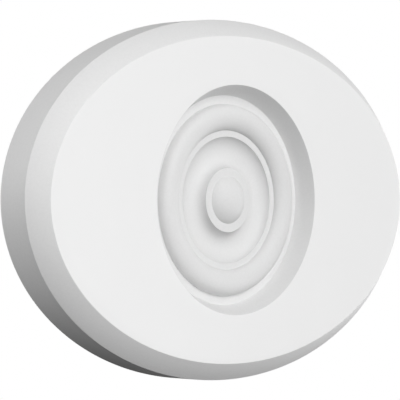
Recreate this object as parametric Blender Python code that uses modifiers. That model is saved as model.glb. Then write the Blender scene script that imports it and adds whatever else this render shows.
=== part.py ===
"""Bullseye rosette: an oval block for trim work, with a bevelled front rim and a round
bullseye sunk into its face. It is one solid, with a flat back that goes on the wall.

The block's frame has its origin at the centre of the back, X across, Z up and the face
towards -Y. Both shapes are modelled face up, so heights are measured from the back."""

from math import cos, hypot, pi, radians, sin

import bmesh
import bpy

# The oval block
BLOCK_WIDTH = 0.1524
BLOCK_HEIGHT = 0.1016
BLOCK_THICKNESS = 0.0143
RIM_BEVEL = 0.0048

# Widths of the bullseye's rings, from the centre out
BUTTON_RADIUS = 0.0067
INNER_FILLET = 0.0024
COVE_WIDTH = 0.0088
MIDDLE_FILLET = 0.0018
BEAD_WIDTH = 0.0074
OUTER_FILLET = 0.0025
WALL_RUN = 0.0028

# How far the flat fillets lie below the face
INNER_FILLET_DEPTH = 0.0041
MIDDLE_FILLET_DEPTH = 0.0046
OUTER_FILLET_DEPTH = 0.0051

# How far the round rings stand off the line between their edges
BUTTON_RISE = 0.0026
COVE_DROP = 0.0026
BEAD_RISE = 0.0025

# How full each round is: half the angle of its arc, upright at the ends at 90 degrees
BUTTON_FULLNESS = radians(64)
COVE_FULLNESS = radians(73)
BEAD_FULLNESS = radians(82)

# How far the crown lies towards the centre, as a share of half the ring's width
COVE_LEAN = 0.1
BEAD_LEAN = -0.15

# How far the bullseye's cutter reaches past the face
CUTTER_OVERRUN = 0.002

# Facets round the oval and round the bullseye, and the longest facet across a ring
OVAL_FACETS = 128
BULLSEYE_FACETS = 84
RING_FACET = 0.0009

# Points nearer to the axis than this give way to the one on it
CENTRE_GAP = 0.0002

# The finish: white cellular PVC
PVC_COLOUR = (0.86, 0.86, 0.855, 1.0)
PVC_ROUGHNESS = 0.55


def ring(start, end, rise, fullness, lean):
    """Points after start, up to end, of an elliptical arc whose crown stands rise to the left."""
    run, climb = end[0] - start[0], end[1] - start[1]
    width = hypot(run, climb)
    normal = (-climb / width, run / width)
    facets = max(4, round((width + abs(rise)) / RING_FACET))
    points = []
    for step in range(1, facets):
        angle = fullness * (2 * step / facets - 1)
        across = sin(angle) / sin(fullness)
        share = (1 + across + lean * (1 - across**2)) / 2
        off = rise * (cos(angle) - cos(fullness)) / (1 - cos(fullness))
        points.append((start[0] + run * share + normal[0] * off, start[1] + climb * share + normal[1] * off))
    return points + [end]


def bullseye_profile():
    """The bullseye's section as (radius, height) points, from the mouth in to the centre."""
    button = BUTTON_RADIUS
    cove_in = button + INNER_FILLET
    cove_out = cove_in + COVE_WIDTH
    bead_in = cove_out + MIDDLE_FILLET
    bead_out = bead_in + BEAD_WIDTH
    floor_out = bead_out + OUTER_FILLET
    inner = BLOCK_THICKNESS - INNER_FILLET_DEPTH
    middle = BLOCK_THICKNESS - MIDDLE_FILLET_DEPTH
    outer = BLOCK_THICKNESS - OUTER_FILLET_DEPTH
    wall_slope = WALL_RUN / OUTER_FILLET_DEPTH

    # The wall runs on past the face at its own slope, so that the mouth is cut clean
    rim = floor_out + wall_slope * (OUTER_FILLET_DEPTH + CUTTER_OVERRUN)
    points = [(rim, BLOCK_THICKNESS + CUTTER_OVERRUN), (floor_out, outer), (bead_out, outer)]
    points += ring((bead_out, outer), (bead_in, middle), -BEAD_RISE, BEAD_FULLNESS, BEAD_LEAN)
    points.append((cove_out, middle))
    points += ring((cove_out, middle), (cove_in, inner), COVE_DROP, COVE_FULLNESS, COVE_LEAN)
    points.append((button, inner))

    # The button is half of a ring's arc, from its foot to its crown on the axis
    whole = ring((button, inner), (-button, inner), -BUTTON_RISE, BUTTON_FULLNESS, 0.0)
    points += [point for point in whole if point[0] > CENTRE_GAP]
    return points + [(0.0, inner + BUTTON_RISE)]


def oval_block(collection):
    """The block: a round blank drawn out to the oval, with its front rim bevelled."""
    bpy.ops.mesh.primitive_cylinder_add(vertices=OVAL_FACETS, radius=0.5, depth=BLOCK_THICKNESS)
    block = bpy.context.active_object
    block.name = block.data.name = "rosette"
    for vertex in block.data.vertices:
        vertex.co.x *= BLOCK_WIDTH
        vertex.co.y *= BLOCK_HEIGHT
        vertex.co.z += BLOCK_THICKNESS / 2
    front = [v.index for v in block.data.vertices if v.co.z > BLOCK_THICKNESS / 2]
    block.vertex_groups.new(name="front rim").add(front, 1.0, "REPLACE")
    bevel = block.modifiers.new("rim bevel", "BEVEL")
    bevel.limit_method = "VGROUP"
    bevel.vertex_group = "front rim"
    bevel.width = RIM_BEVEL
    bevel.segments = 1
    move_to(block, collection)
    return block


def bullseye_cutter(collection):
    """What is turned out of the face: the section drawn once and screwed round the axis."""
    mesh = bpy.data.meshes.new("bullseye cutter")
    section = bmesh.new()
    points = bullseye_profile()
    vertices = [section.verts.new((0.0, 0.0, points[0][1]))]
    vertices += [section.verts.new((radius, 0.0, height)) for radius, height in points]
    for first, second in zip(vertices, vertices[1:]):
        section.edges.new((first, second))
    section.to_mesh(mesh)
    section.free()
    cutter = bpy.data.objects.new("bullseye cutter", mesh)
    collection.objects.link(cutter)
    screw = cutter.modifiers.new("turned round the axis", "SCREW")
    screw.steps = screw.render_steps = BULLSEYE_FACETS
    screw.use_merge_vertices = True
    screw.merge_threshold = 0.00001
    cutter.hide_render = True
    cutter.display_type = "WIRE"
    return cutter


def pvc():
    """White cellular PVC: a satin, near white skin with no grain."""
    material = bpy.data.materials.new("cellular PVC")
    material.use_nodes = True
    shader = material.node_tree.nodes["Principled BSDF"]
    shader.inputs["Base Color"].default_value = PVC_COLOUR
    shader.inputs["Roughness"].default_value = PVC_ROUGHNESS
    shader.inputs["Metallic"].default_value = 0.0
    return material


def move_to(item, collection):
    """Take an object out of every collection and put it in the one given."""
    for owner in list(item.users_collection):
        owner.objects.unlink(item)
    collection.objects.link(item)


def new_collection(name):
    collection = bpy.data.collections.new(name)
    bpy.context.scene.collection.children.link(collection)
    return collection


def build():
    for item in list(bpy.data.objects):
        bpy.data.objects.remove(item, do_unlink=True)
    parts = new_collection("bullseye rosette")
    cutters = new_collection("cutters")
    block = oval_block(parts)
    cutter = bullseye_cutter(cutters)
    cut = block.modifiers.new("bullseye", "BOOLEAN")
    cut.operation = "DIFFERENCE"
    cut.object = cutter
    block.data.materials.append(pvc())

    # Stand both up: the face turns from +Z to -Y, and the cutter goes with the block
    cutter.parent = block
    block.rotation_euler = (pi / 2, 0.0, 0.0)


build()
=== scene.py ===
"""Bullseye rosette: an oval trim block of white cellular PVC, finished and set in a plain studio.

The block's frame has its origin at the centre of the back, X across, Z up and the face
towards -Y. The rosette is modelled face up and then stood up, so heights are measured
from the back."""

from math import cos, hypot, pi, radians, sin

import bpy
from bpy.props import FloatProperty, FloatVectorProperty, IntProperty, PointerProperty
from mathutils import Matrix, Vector


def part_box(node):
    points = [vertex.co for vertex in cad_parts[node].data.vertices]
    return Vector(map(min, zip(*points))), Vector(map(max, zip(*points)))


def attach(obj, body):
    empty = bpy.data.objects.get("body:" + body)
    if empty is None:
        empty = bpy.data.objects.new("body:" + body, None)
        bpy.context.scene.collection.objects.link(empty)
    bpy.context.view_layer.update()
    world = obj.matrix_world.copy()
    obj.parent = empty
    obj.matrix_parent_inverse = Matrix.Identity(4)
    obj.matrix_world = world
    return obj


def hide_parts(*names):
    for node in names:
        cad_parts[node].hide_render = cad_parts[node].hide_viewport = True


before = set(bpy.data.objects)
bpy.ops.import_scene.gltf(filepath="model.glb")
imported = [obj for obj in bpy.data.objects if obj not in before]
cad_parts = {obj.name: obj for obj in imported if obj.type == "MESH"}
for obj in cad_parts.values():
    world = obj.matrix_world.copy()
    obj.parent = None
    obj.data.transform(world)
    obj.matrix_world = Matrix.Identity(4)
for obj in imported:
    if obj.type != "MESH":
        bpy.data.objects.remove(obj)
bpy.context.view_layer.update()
BLOCK_LOW, BLOCK_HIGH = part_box("rosette")

bl_info = {
    "name": "Bullseye Rosette",
    "version": (1, 0, 0),
    "blender": (4, 5, 0),
    "location": "View3D > Sidebar > Rosette",
    "description": "Models an oval bullseye rosette in cellular PVC and its studio stage",
    "category": "Add Mesh",
}

MM = 0.001
ORIGIN = (0.0, 0.0, 0.0)

# Heights, radii or corners nearer than this are taken as the same
SAME = 0.001 * MM

# A face is level if its unit normal stands up or down by more than this
LEVEL = 0.9999

# Facets across an eased edge, and the widest bend that is shaded smooth
ARRIS_FACETS = 3
SMOOTH_BEND = radians(25)

# Cuts between the face's rim and the mouth, and each ring on the back as a share of the one round it
FACE_CUTS = 8
BACK_STEPS = (0.75, 0.67, 0.5)

# The material slots of what is cut, after the first one, which holds the skin; the wall's and the rings'
# slots carry painted shade
MILLED, SHADED_WALL, SHADED_RINGS = 1, 2, 3

# The skin's drift in tone and gloss, and its orange peel
DRIFT_WIDTH = 20 * MM
PEEL_WIDTH = 1.5 * MM
PEEL_HEIGHT = 0.004 * MM

# Cut PVC's cells and cutter's lines as drawn, their relief and the lines' share of it
CELL_WIDTH = 0.7 * MM
LINE_SPACING = 0.7 * MM
CUT_RELIEF = 0.002 * MM
LINE_SHARE = 0.4

# How far roughness swings to either side of its mean
ROUGHNESS_SWING = 0.05

# A Wave node's settings for cutter's lines along the rim and round the bullseye
ALONG_RIM = {"wave_type": "BANDS", "bands_direction": "Y"}
ROUND_AXIS = {"wave_type": "RINGS", "rings_direction": "Y"}

# How many radians a Wave node's wave turns in a length of 1 / scale
WAVE_TURN = 20

# A Mix node's sockets for colours, which are given by number because their names repeat
MIX_FACTOR, MIX_A, MIX_B, MIX_RESULT = 0, 6, 7, 2

# How far off a soft light stands and how wide it is, in metres
FAR = (1.2, 0.6)
NEAR = (0.45, 0.25)

# Soft lights: azimuth from the face and elevation in degrees, stand, and watts
SOFT_LIGHTS = (
    ("high front softbox", 0, 30, FAR, 9.0),
    ("top light", 0, 50, FAR, 1.4),
    ("low front fill", 30, -10, FAR, 4.1),
    ("right edge light", 90, -10, FAR, 6.4),
    ("left front fill", -60, 30, FAR, 1.3),
    ("left edge light", -120, 20, FAR, 5.0),
    ("left back light", -150, 10, FAR, 2.8),
    ("right back light", 150, 10, FAR, 3.5),
    ("near left fill", -40, 0, NEAR, 0.25),
    ("near low left fill", -40, -30, NEAR, 0.28),
)

FLOOR_SIDES = 128
FLOOR_ROUGHNESS = 0.8


def linear(hex_colour):
    """An sRGB hex colour, such as F0F0F0, as linear red, green and blue."""
    channels = [int(hex_colour[first : first + 2], 16) / 255 for first in (0, 2, 4)]
    return tuple(c / 12.92 if c <= 0.04045 else ((c + 0.055) / 1.055) ** 2.4 for c in channels)


def length(name, description, default):
    """A length property in metres."""
    return FloatProperty(
        name=name, description=description, default=default, min=0.0, unit="LENGTH", precision=5
    )


def angle(name, description, degrees):
    """An angle property, given in degrees."""
    return FloatProperty(name=name, description=description, default=radians(degrees), unit="ROTATION")


def share(name, description, default, lowest=0.0):
    """A property between lowest and 1."""
    return FloatProperty(name=name, description=description, default=default, min=lowest, max=1.0)


def colour(name, description, hex_colour):
    """A colour property, given as sRGB hex."""
    return FloatVectorProperty(
        name=name, description=description, default=linear(hex_colour), subtype="COLOR", min=0.0, max=1.0
    )


class RosetteSizes(bpy.types.PropertyGroup):
    """Sizes of the block and of the bullseye's section"""

    width: length("Width", "Width of the oval block", BLOCK_HIGH[0] - BLOCK_LOW[0])
    height: length("Height", "Height of the oval block", BLOCK_HIGH[2] - BLOCK_LOW[2])
    thickness: length("Thickness", "From the flat back to the face", BLOCK_HIGH[1] - BLOCK_LOW[1])
    rim_bevel: length("Rim bevel", "Width and depth of the bevel round the face", 4.8 * MM)
    arris: length("Arris", "How far the sharp front edges are eased", 0.08 * MM)

    button_radius: length("Button radius", "Radius of the round button", 6.7 * MM)
    inner_fillet: length("Inner fillet", "Flat ring round the button", 2.4 * MM)
    cove_width: length("Cove width", "Hollow ring between the flats", 8.8 * MM)
    middle_fillet: length("Middle fillet", "Flat ring between cove and bead", 1.8 * MM)
    bead_width: length("Bead width", "Round ring outside the cove", 7.4 * MM)
    outer_fillet: length("Outer fillet", "Flat ring at the foot of the recess wall", 2.5 * MM)
    wall_run: length("Wall run", "How far the recess wall leans outwards", 2.8 * MM)

    inner_depth: length("Inner fillet depth", "Inner fillet below the face", 4.1 * MM)
    middle_depth: length("Middle fillet depth", "Middle fillet below the face", 4.6 * MM)
    outer_depth: length("Outer fillet depth", "Outer fillet below the face", 5.1 * MM)

    button_rise: length("Button rise", "Crown of the button above its flat", 2.6 * MM)
    button_fullness: angle("Button fullness", "Half the arc's angle, upright at the foot at 90 degrees", 64)
    cove_drop: length("Cove drop", "Lowest line of the cove below its edges", 2.6 * MM)
    cove_fullness: angle("Cove fullness", "Half the arc's angle, upright at the edges at 90 degrees", 73)
    cove_lean: share("Cove lean", "How far the lowest line lies towards the centre", 0.1, -1.0)
    bead_rise: length("Bead rise", "Crown of the bead above its edges", 2.5 * MM)
    bead_fullness: angle("Bead fullness", "Half the arc's angle, upright at the feet at 90 degrees", 82)
    bead_lean: share("Bead lean", "How far the crown lies towards the centre", -0.15, -1.0)

    facet: length("Facet", "Facet across a ring of the bullseye", 0.25 * MM)
    sides: IntProperty(name="Sides", description="Facets round the oval and the rings", default=384, min=32)


class RosetteFinish(bpy.types.PropertyGroup):
    """Colours and roughness of the cellular PVC"""

    skin_light: colour("Skin light", "Lighter tone of the sheet's skin", "E8E8E8")
    skin_dark: colour("Skin dark", "Darker tone of the sheet's skin", "E6E6E6")
    skin_roughness: share("Skin roughness", "Satin of the sheet's skin", 0.52)
    milled_light: colour("Milled light", "Lighter tone of the milled rim", "E8E8E8")
    milled_dark: colour("Milled dark", "Open cells of the milled rim", "E5E5E5")
    # Painted shade: the wall's and the rings' tones are darker than the skin's to stand for the shade in the
    # recess; the darker of each pair marks the open cells
    shaded_wall_tone: colour("Shaded wall tone", "Lighter tone of the recess wall", "DEDEDE")
    shaded_wall_cells: colour("Shaded wall cells", "Open cells of the recess wall", "DBDBDB")
    shaded_rings_tone: colour("Shaded rings tone", "Lighter tone of the turned rings and fillets", "DBDBDB")
    shaded_rings_cells: colour("Shaded rings cells", "Open cells of the turned rings and fillets", "D8D8D8")
    cut_roughness: share("Cut roughness", "Milled and turned PVC, more matt than the skin", 0.6)


class StageSettings(bpy.types.PropertyGroup):
    """Where the camera stands, how strong the lights are and how large the floor is"""

    camera_turn: angle("Camera turn", "How far the camera is swung round from the face", 45.94)
    camera_distance: length("Camera distance", "From the camera to the face", 674.4 * MM)
    camera_aside: length("Camera aside", "How far right of the aim the face's centre lies", 10.88 * MM)
    camera_lens: FloatProperty(name="Lens", description="Focal length in mm", default=215.7, min=1.0)
    light_level: FloatProperty(name="Light level", description="Factor on all lights", default=1.0, min=0.0)
    floor_colour: colour("Floor", "Pale studio floor", "F2F2F2")
    floor_glow: share("Floor glow", "Light of the room on the floor", 0.35)
    floor_radius: length("Floor radius", "Radius of the round floor", 600 * MM)
    floor_drop: length("Floor drop", "How far the floor lies below the rosette's middle", 120 * MM)


def add_node(tree, kind, inputs=None, **settings):
    """Add a node with its settings. An input is given a value, or a socket to be linked from."""
    node = tree.nodes.new(kind)
    for name, value in settings.items():
        setattr(node, name, value)
    for name, value in (inputs or {}).items():
        if isinstance(value, bpy.types.NodeSocket):
            tree.links.new(value, node.inputs[name])
        else:
            node.inputs[name].default_value = value
    return node


def ring(start, end, rise, fullness, lean, facet):
    """Points after start, up to end, of an elliptical arc whose crown stands rise to the left."""
    run, climb = end[0] - start[0], end[1] - start[1]
    width = hypot(run, climb)
    normal = (-climb / width, run / width)
    facets = max(4, round((width + abs(rise)) / facet))
    points = []
    for step in range(1, facets):
        turn = fullness * (2 * step / facets - 1)
        across = sin(turn) / sin(fullness)
        along = (1 + across + lean * (1 - across**2)) / 2
        off = rise * (cos(turn) - cos(fullness)) / (1 - cos(fullness))
        points.append((start[0] + run * along + normal[0] * off, start[1] + climb * along + normal[1] * off))
    return points + [end]


def wall_foot(sizes):
    """Radius of the foot of the recess wall, round the outer fillet."""
    rings = sizes.button_radius + sizes.inner_fillet + sizes.cove_width + sizes.middle_fillet
    return rings + sizes.bead_width + sizes.outer_fillet


def bullseye_section(sizes):
    """The bullseye's section as (radius, height) points, from the mouth in to the centre."""
    button = sizes.button_radius
    cove_in = button + sizes.inner_fillet
    cove_out = cove_in + sizes.cove_width
    bead_in = cove_out + sizes.middle_fillet
    floor_out = wall_foot(sizes)
    bead_out = floor_out - sizes.outer_fillet
    inner = sizes.thickness - sizes.inner_depth
    middle = sizes.thickness - sizes.middle_depth
    outer = sizes.thickness - sizes.outer_depth
    bead = (-sizes.bead_rise, sizes.bead_fullness, sizes.bead_lean, sizes.facet)
    cove = (sizes.cove_drop, sizes.cove_fullness, sizes.cove_lean, sizes.facet)
    points = [(floor_out + sizes.wall_run, sizes.thickness), (floor_out, outer), (bead_out, outer)]
    points += ring((bead_out, outer), (bead_in, middle), *bead)
    points.append((cove_out, middle))
    points += ring((cove_out, middle), (cove_in, inner), *cove)
    points.append((button, inner))

    # The button is half of a ring's arc, from its foot to its crown on the axis
    dome = (-sizes.button_rise, sizes.button_fullness, 0.0, sizes.facet)
    whole = ring((button, inner), (-button, inner), *dome)
    points += [point for point in whole if point[0] > sizes.facet / 2]
    return points + [(0.0, inner + sizes.button_rise)]


def select_edges(item, wanted):
    """Select, in edit mode, the edges whose two corners both satisfy wanted."""
    bpy.ops.mesh.select_all(action="DESELECT")
    bpy.ops.object.mode_set(mode="OBJECT")
    vertices = item.data.vertices
    for edge in item.data.edges:
        edge.select = all(wanted(vertices[index].co) for index in edge.vertices)
    bpy.ops.object.mode_set(mode="EDIT")


def select_faces(item, wanted):
    """Select, in edit mode, the faces whose centre and normal satisfy wanted."""
    bpy.ops.mesh.select_all(action="DESELECT")
    bpy.ops.object.mode_set(mode="OBJECT")
    for face in item.data.polygons:
        face.select = wanted(face.center, face.normal)
    bpy.ops.object.mode_set(mode="EDIT")


def at_height(height):
    """A test for corners that lie at a height."""
    return lambda corner: abs(corner.z - height) < SAME


def oval_blank(sizes):
    """A round blank drawn out to the oval, its front rim bevelled and the bevel's edges eased."""
    bpy.ops.object.select_all(action="DESELECT")
    bpy.ops.mesh.primitive_cylinder_add(vertices=sizes.sides, radius=0.5, depth=sizes.thickness)
    block = bpy.context.active_object
    block.name = block.data.name = "bullseye_rosette"
    bpy.ops.object.mode_set(mode="EDIT")
    bpy.ops.mesh.select_all(action="SELECT")
    bpy.ops.mesh.select_mode(type="EDGE")
    bpy.ops.transform.resize(value=(sizes.width, sizes.height, 1.0), center_override=ORIGIN)
    bpy.ops.transform.translate(value=(0.0, 0.0, sizes.thickness / 2))

    select_edges(block, at_height(sizes.thickness))
    bpy.ops.mesh.bevel(offset=sizes.rim_bevel, segments=1, affect="EDGES")
    for height in (sizes.thickness, sizes.thickness - sizes.rim_bevel):
        select_edges(block, at_height(height))
        bpy.ops.mesh.bevel(offset=sizes.arris, segments=ARRIS_FACETS, affect="EDGES")
    return block


def close_back(block):
    """The flat back, with rings of faces towards a middle point."""
    select_faces(block, lambda centre, normal: normal.z < -LEVEL)
    for step_in in BACK_STEPS:
        bpy.ops.mesh.extrude_region_move()
        bpy.ops.transform.resize(value=(step_in, step_in, 1.0), center_override=ORIGIN)
    bpy.ops.mesh.poke()


def turn_bullseye(block, sizes):
    """Open the face and work the bullseye's section in from its mouth, ring by ring."""
    top = sizes.thickness
    select_faces(block, lambda centre, normal: normal.z > LEVEL)
    bpy.ops.mesh.delete(type="ONLY_FACE")
    (mouth, _), *inward = bullseye_section(sizes)
    bpy.ops.mesh.primitive_circle_add(vertices=sizes.sides, radius=mouth, location=(0.0, 0.0, top))
    radius, height = mouth, top
    for next_radius, next_height in inward:
        drop = (0.0, 0.0, next_height - height)
        bpy.ops.mesh.extrude_region_move(TRANSFORM_OT_translate={"value": drop})
        if next_radius > 0.0:
            narrow = next_radius / radius
            bpy.ops.transform.resize(value=(narrow, narrow, 1.0), center_override=ORIGIN)
        else:
            bpy.ops.mesh.merge(type="CENTER")
        radius, height = next_radius, next_height

    # The flat face goes in between its rim and the mouth, whose edge is eased last
    at_top = at_height(top)
    select_edges(block, at_top)
    bpy.ops.mesh.bridge_edge_loops(number_cuts=FACE_CUTS, interpolation="LINEAR")
    select_edges(block, lambda corner: at_top(corner) and abs(hypot(*corner.xy) - mouth) < SAME)
    bpy.ops.mesh.bevel(offset=sizes.arris, segments=ARRIS_FACETS, affect="EDGES")


def close_seams(block):
    """Merge what lies doubled and point every face out."""
    bpy.ops.mesh.select_all(action="SELECT")
    bpy.ops.mesh.remove_doubles(threshold=SAME)
    bpy.ops.mesh.normals_make_consistent(inside=False)


def stand_up(block):
    """Turn the face from +Z to -Y, with the turn in the mesh, and shade the rounds smooth."""
    bpy.ops.object.mode_set(mode="OBJECT")
    block.rotation_euler = (pi / 2, 0.0, 0.0)
    bpy.ops.object.transform_apply(location=True, rotation=True, scale=True)
    bpy.ops.object.shade_smooth_by_angle(angle=SMOOTH_BEND)


def new_finish(name):
    """A material with nodes, its tree and the place on the rosette."""
    material = bpy.data.materials.new(name)
    material.use_nodes = True
    tree = material.node_tree
    return material, tree, add_node(tree, "ShaderNodeTexCoord").outputs["Object"]


def wave_scale(spacing):
    """A Wave node's scale for lines this far apart."""
    return 2 * pi / (WAVE_TURN * spacing)


def tones(tree, factor, light, dark):
    """Light where the factor is 0, dark where it is 1."""
    sockets = {MIX_FACTOR: factor, MIX_A: (*light, 1.0), MIX_B: (*dark, 1.0)}
    return add_node(tree, "ShaderNodeMix", sockets, data_type="RGBA").outputs[MIX_RESULT]


def roughness_about(tree, factor, mean):
    """Roughness that swings about its mean with the factor."""
    sockets = {"Value": factor, "To Min": mean - ROUGHNESS_SWING, "To Max": mean + ROUGHNESS_SWING}
    return add_node(tree, "ShaderNodeMapRange", sockets).outputs["Result"]


def finish_surface(tree, tone, roughness, height, relief):
    """Give the shader its tone, its roughness and a relief of the given height."""
    bump = add_node(tree, "ShaderNodeBump", {"Height": height, "Distance": relief})
    shader = tree.nodes["Principled BSDF"]
    tree.links.new(tone, shader.inputs["Base Color"])
    tree.links.new(roughness, shader.inputs["Roughness"])
    tree.links.new(bump.outputs["Normal"], shader.inputs["Normal"])


def skin_pvc(finish):
    """Cellular PVC sheet leaves its polished rolls with a closed skin.

    It is near white and satin, and drifts faintly in tone and gloss over some 20 mm. Its
    orange peel is about 1.5 mm wide and a few thousandths of a millimetre high."""
    material, tree, place = new_finish("cellular PVC skin")
    drift = add_node(tree, "ShaderNodeTexNoise", {"Vector": place, "Scale": 1 / DRIFT_WIDTH, "Detail": 2.0})
    peel = add_node(tree, "ShaderNodeTexNoise", {"Vector": place, "Scale": 1 / PEEL_WIDTH, "Detail": 1.0})
    tone = tones(tree, drift.outputs["Fac"], finish.skin_light, finish.skin_dark)
    roughness = roughness_about(tree, drift.outputs["Fac"], finish.skin_roughness)
    finish_surface(tree, tone, roughness, peel.outputs["Fac"], PEEL_HEIGHT)
    return material


def cut_pvc(name, light, dark, cut_roughness, direction):
    """Cut PVC: the cutter opens the closed cells, which takes the gloss off and leaves tiny pits.

    The cells are 0.1 to 0.3 mm wide and the cutter's lines about 0.2 mm apart. Both are drawn
    wider, at about the least that shows, and faint. direction is a Wave node's settings."""
    material, tree, place = new_finish(name)
    cells = add_node(tree, "ShaderNodeTexVoronoi", {"Vector": place, "Scale": 1 / CELL_WIDTH})
    pits = cells.outputs["Distance"]
    spaced = {"Vector": place, "Scale": wave_scale(LINE_SPACING)}
    lines = add_node(tree, "ShaderNodeTexWave", spaced, **direction)
    both = {0: lines.outputs["Fac"], 1: LINE_SHARE, 2: pits}
    height = add_node(tree, "ShaderNodeMath", both, operation="MULTIPLY_ADD").outputs["Value"]
    roughness = roughness_about(tree, pits, cut_roughness)
    finish_surface(tree, tones(tree, pits, light, dark), roughness, height, CUT_RELIEF)
    return material


def milled_pvc(finish):
    """The rim and its bevel are milled, with the cutter's lines along them."""
    tone = (finish.milled_light, finish.milled_dark)
    return cut_pvc("milled PVC rim", *tone, finish.cut_roughness, ALONG_RIM)


def shaded_wall_pvc(finish):
    """The recess wall is turned out of the sheet below its skin; its darker tone is painted shade in the
    recess.
    """
    tone = (finish.shaded_wall_tone, finish.shaded_wall_cells)
    return cut_pvc("turned PVC wall with painted shade", *tone, finish.cut_roughness, ROUND_AXIS)


def shaded_rings_pvc(finish):
    """The rings and fillets are turned out of the sheet's core with its open cells; their tone, the darkest,
    is painted shade deep in the recess.
    """
    tone = (finish.shaded_rings_tone, finish.shaded_rings_cells)
    return cut_pvc("turned PVC rings with painted shade", *tone, finish.cut_roughness, ROUND_AXIS)


def paint(block, slot, wanted):
    """Give a finish to the faces that satisfy wanted."""
    select_faces(block, wanted)
    block.active_material_index = slot
    bpy.ops.object.material_slot_assign()


def finish_faces(block, sizes, finish):
    """Skin on the face and the back, milled rim, turned wall and rings, the wall and rings in tones darkened
    as painted shade.
    """
    for material in (skin_pvc(finish), milled_pvc(finish), shaded_wall_pvc(finish), shaded_rings_pvc(finish)):
        block.data.materials.append(material)
    top = sizes.thickness
    foot = wall_foot(sizes)
    mouth = foot + sizes.wall_run
    paint(block, MILLED, lambda centre, normal: SAME < centre.z < top and abs(normal.z) < LEVEL)
    # The recess wall, and the rings and fillets inside its foot, take the tones darkened as painted shade
    paint(block, SHADED_WALL, lambda centre, normal: SAME < centre.z < top - SAME and hypot(*centre.xy) < mouth)
    paint(block, SHADED_RINGS, lambda centre, normal: centre.z > SAME and hypot(*centre.xy) < foot)


class ROSETTE_OT_model(bpy.types.Operator):
    """Model the rosette in place of the plain solid and give it its finish"""

    bl_idname = "rosette.model"
    bl_label = "Model Rosette"
    bl_options = {"REGISTER", "UNDO"}

    def execute(self, context):
        sizes = context.scene.rosette_sizes
        block = oval_blank(sizes)
        close_back(block)
        turn_bullseye(block, sizes)
        close_seams(block)
        finish_faces(block, sizes, context.scene.rosette_finish)
        stand_up(block)
        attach(block, "root")
        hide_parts("rosette")
        return {"FINISHED"}


def soft_light(name, azimuth, elevation, stand, power, target):
    """A round soft light that looks at the target from its azimuth, elevation and stand."""
    distance, width = stand
    turn, lift = radians(azimuth), radians(elevation)
    away = Vector((sin(turn) * cos(lift), -cos(turn) * cos(lift), sin(lift)))
    light = bpy.data.lights.new(name, "AREA")
    light.shape = "DISK"
    light.size = width
    light.energy = power
    lamp = bpy.data.objects.new(name, light)
    lamp.location = target + away * distance
    lamp.rotation_euler = (-away).to_track_quat("-Z", "Y").to_euler()
    bpy.context.scene.collection.objects.link(lamp)


def camera_at(stage, face_centre):
    """A long lens swung round from the face, looking level."""
    turn = stage.camera_turn
    ahead = Vector((sin(turn), cos(turn), 0.0))
    aside = Vector((cos(turn), -sin(turn), 0.0))
    lens = bpy.data.cameras.new("studio camera")
    lens.lens = stage.camera_lens
    camera = bpy.data.objects.new("studio camera", lens)
    camera.location = face_centre - aside * stage.camera_aside - ahead * stage.camera_distance
    camera.rotation_euler = (pi / 2, 0.0, -turn)
    bpy.context.scene.collection.objects.link(camera)
    bpy.context.scene.camera = camera


def white_backdrop():
    """A white backdrop that the camera sees, and that sends no light on to the rosette."""
    world = bpy.data.worlds.new("white backdrop")
    world.use_nodes = True
    tree = world.node_tree
    tree.nodes.clear()
    seen = add_node(tree, "ShaderNodeLightPath").outputs["Is Camera Ray"]
    white = add_node(tree, "ShaderNodeBackground", {"Color": (1.0, 1.0, 1.0, 1.0), "Strength": seen})
    add_node(tree, "ShaderNodeOutputWorld", {"Surface": white.outputs["Background"]})
    bpy.context.scene.world = world


def floor_paint(stage):
    """Matt pale paint with a glow for the light of the room, see-through from below."""
    material = bpy.data.materials.new("matt floor paint")
    material.use_nodes = True
    tree = material.node_tree
    paint_colour = (*stage.floor_colour, 1.0)
    shader = tree.nodes["Principled BSDF"]
    shader.inputs["Base Color"].default_value = paint_colour
    shader.inputs["Roughness"].default_value = FLOOR_ROUGHNESS
    shader.inputs["Emission Color"].default_value = paint_colour
    shader.inputs["Emission Strength"].default_value = stage.floor_glow
    below = add_node(tree, "ShaderNodeNewGeometry").outputs["Backfacing"]
    clear = add_node(tree, "ShaderNodeBsdfTransparent").outputs["BSDF"]
    either = add_node(tree, "ShaderNodeMixShader", {0: below, 1: shader.outputs["BSDF"], 2: clear})
    tree.links.new(either.outputs["Shader"], tree.nodes["Material Output"].inputs["Surface"])
    return material


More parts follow.
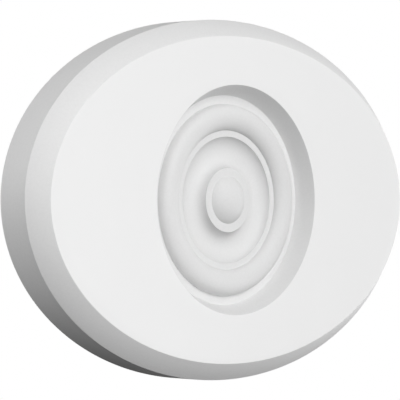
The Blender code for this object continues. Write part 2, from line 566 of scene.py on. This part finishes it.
def pale_floor(stage):
    """A round pale floor below the rosette, which the camera sees and the light passes by."""
    bpy.ops.object.select_all(action="DESELECT")
    below = (0.0, 0.0, -stage.floor_drop)
    bpy.ops.mesh.primitive_circle_add(
        vertices=FLOOR_SIDES, radius=stage.floor_radius, fill_type="NGON", location=below
    )
    disc = bpy.context.active_object
    disc.name = disc.data.name = "studio_floor"
    disc.data.materials.append(floor_paint(stage))
    disc.visible_diffuse = disc.visible_glossy = disc.visible_shadow = False


class ROSETTE_OT_stage(bpy.types.Operator):
    """Set the camera, the soft lights, the white backdrop and the pale floor"""

    bl_idname = "rosette.stage"
    bl_label = "Set Stage"
    bl_options = {"REGISTER", "UNDO"}

    def execute(self, context):
        stage = context.scene.rosette_stage
        face_centre = Vector((0.0, -context.scene.rosette_sizes.thickness, 0.0))
        camera_at(stage, face_centre)
        for name, azimuth, elevation, stand, power in SOFT_LIGHTS:
            soft_light(name, azimuth, elevation, stand, power * stage.light_level, face_centre)
        white_backdrop()
        pale_floor(stage)
        context.scene.view_settings.view_transform = "Standard"
        return {"FINISHED"}


class ROSETTE_PT_panel(bpy.types.Panel):
    """Lists the settings with the operators that use them"""

    bl_idname = "ROSETTE_PT_panel"
    bl_label = "Bullseye Rosette"
    bl_space_type = "VIEW_3D"
    bl_region_type = "UI"
    bl_category = "Rosette"

    def draw(self, context):
        scene = context.scene
        for settings in (scene.rosette_sizes, scene.rosette_finish, scene.rosette_stage):
            box = self.layout.box()
            for name in type(settings).__annotations__:
                box.prop(settings, name)
        self.layout.operator(ROSETTE_OT_model.bl_idname)
        self.layout.operator(ROSETTE_OT_stage.bl_idname)


CLASSES = (
    RosetteSizes,
    RosetteFinish,
    StageSettings,
    ROSETTE_OT_model,
    ROSETTE_OT_stage,
    ROSETTE_PT_panel,
)


def register():
    for item in CLASSES:
        bpy.utils.register_class(item)
    bpy.types.Scene.rosette_sizes = PointerProperty(type=RosetteSizes)
    bpy.types.Scene.rosette_finish = PointerProperty(type=RosetteFinish)
    bpy.types.Scene.rosette_stage = PointerProperty(type=StageSettings)


def unregister():
    del bpy.types.Scene.rosette_stage
    del bpy.types.Scene.rosette_finish
    del bpy.types.Scene.rosette_sizes
    for item in reversed(CLASSES):
        bpy.utils.unregister_class(item)


def main():
    register()
    bpy.ops.rosette.model()
    bpy.ops.rosette.stage()


if __name__ == "__main__":
    main()
